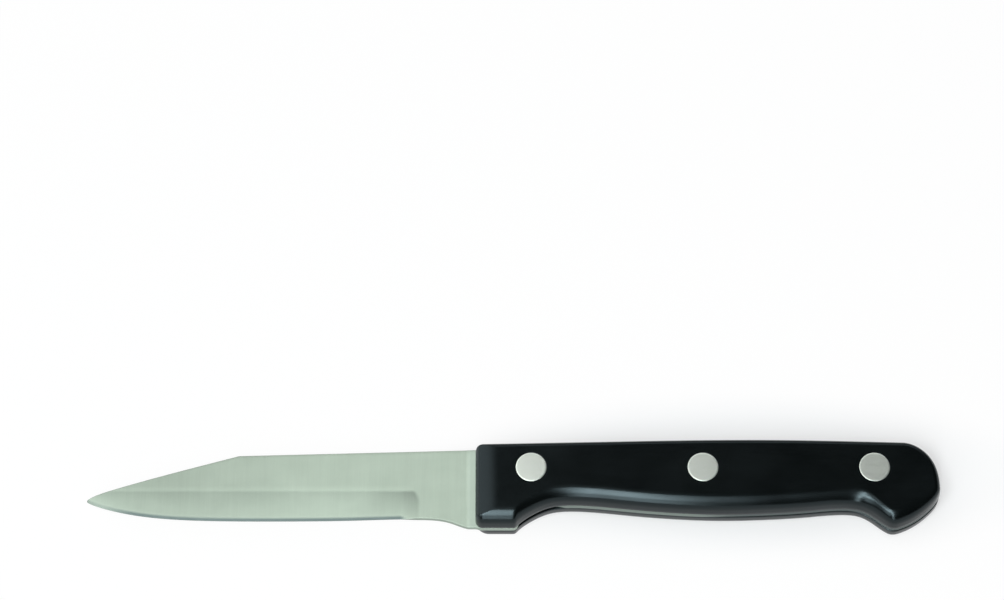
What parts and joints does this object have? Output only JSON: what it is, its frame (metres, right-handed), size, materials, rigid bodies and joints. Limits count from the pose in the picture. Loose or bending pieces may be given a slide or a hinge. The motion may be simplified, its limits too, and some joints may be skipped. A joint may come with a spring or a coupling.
{
  "type": "paring knife",
  "caption": "Paring knife with a straight-spined clip-point blade, a full tang between contoured black scales with finger hollows, and flush cutler's rivets.",
  "frame": {"origin": "under the middle of the knife's bounding box, on the surface that it lies on", "axes": "+X from the point to the butt, +Y from the cutting edge to the spine, +Z out of the near scale, square to the flat of the blade"},
  "size_m": [0.1948, 0.0206, 0.01],
  "materials": {
    "blade_steel": "fine brushed across the blade, from spine to edge",
    "black_plastic": "smooth satin moulding",
    "rivet_metal": "ground flush with the scales, fine scratches"
  },
  "bodies": {
    "root": {"blade": "blade_steel", "near_scale": "black_plastic", "far_scale": "black_plastic", "front_rivet_sleeve": "rivet_metal", "front_rivet_pin": "rivet_metal", "middle_rivet_sleeve": "rivet_metal", "middle_rivet_pin": "rivet_metal", "rear_rivet_sleeve": "rivet_metal", "rear_rivet_pin": "rivet_metal"}
  },
  "joints": []
}
